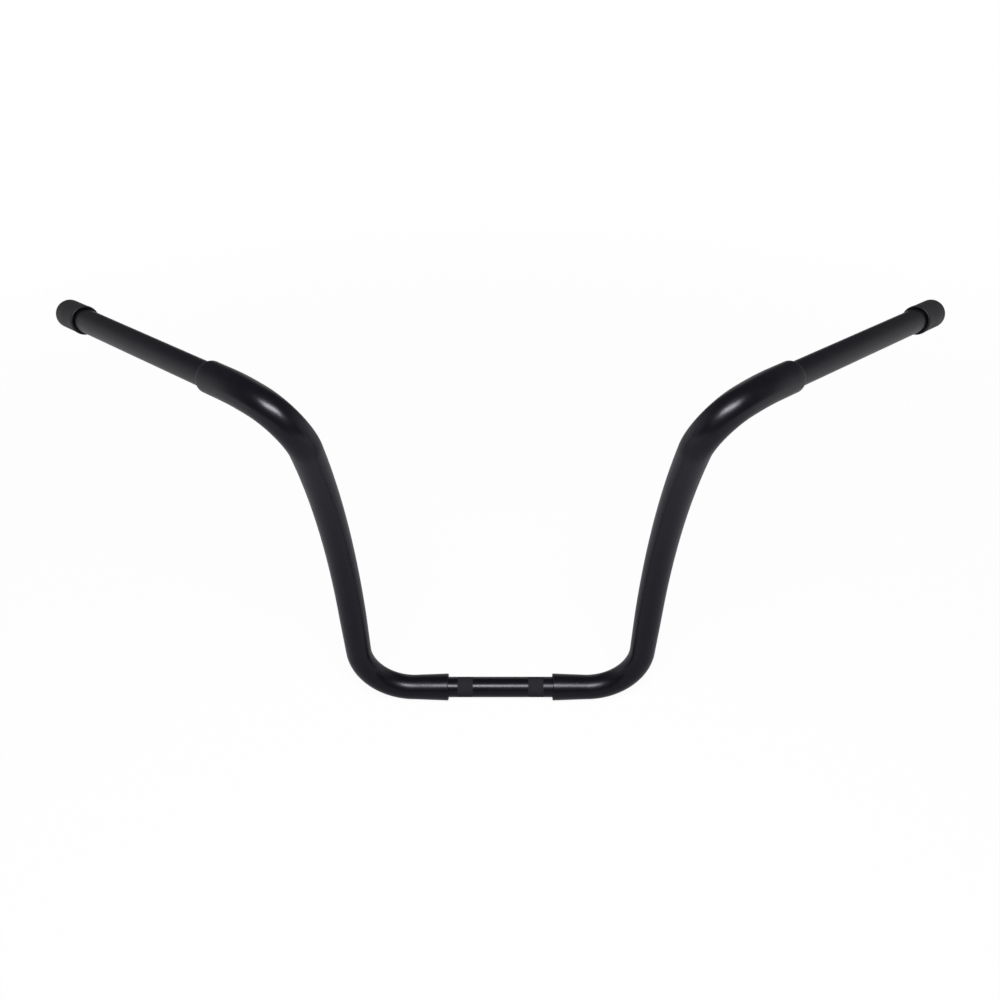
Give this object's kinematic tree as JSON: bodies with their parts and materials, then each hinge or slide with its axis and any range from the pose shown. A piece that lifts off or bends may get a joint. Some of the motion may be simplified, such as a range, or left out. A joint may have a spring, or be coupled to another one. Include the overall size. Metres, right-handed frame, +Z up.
{
  "type": "motorcycle ape hanger handlebar",
  "caption": "Black motorcycle handlebar with tall legs swept out and back to slim grip ends, a slim knurled clamping section and a soft cap on each end.",
  "frame": {"origin": "middle of the clamping section, on the axis of the tube", "axes": "+X along the clamping section to the rider's left, +Y back towards the rider, +Z up with the grip ends level"},
  "size_m": [0.9556, 0.225, 0.4752],
  "materials": {
    "gloss_black_steel": "gloss black finish on steel tube, matt where it is knurled",
    "black_cap_rubber": "satin black soft rubber"
  },
  "bodies": {
    "root": {"handlebar": "gloss_black_steel", "left_end_cap": "black_cap_rubber", "right_end_cap": "black_cap_rubber"}
  },
  "joints": []
}
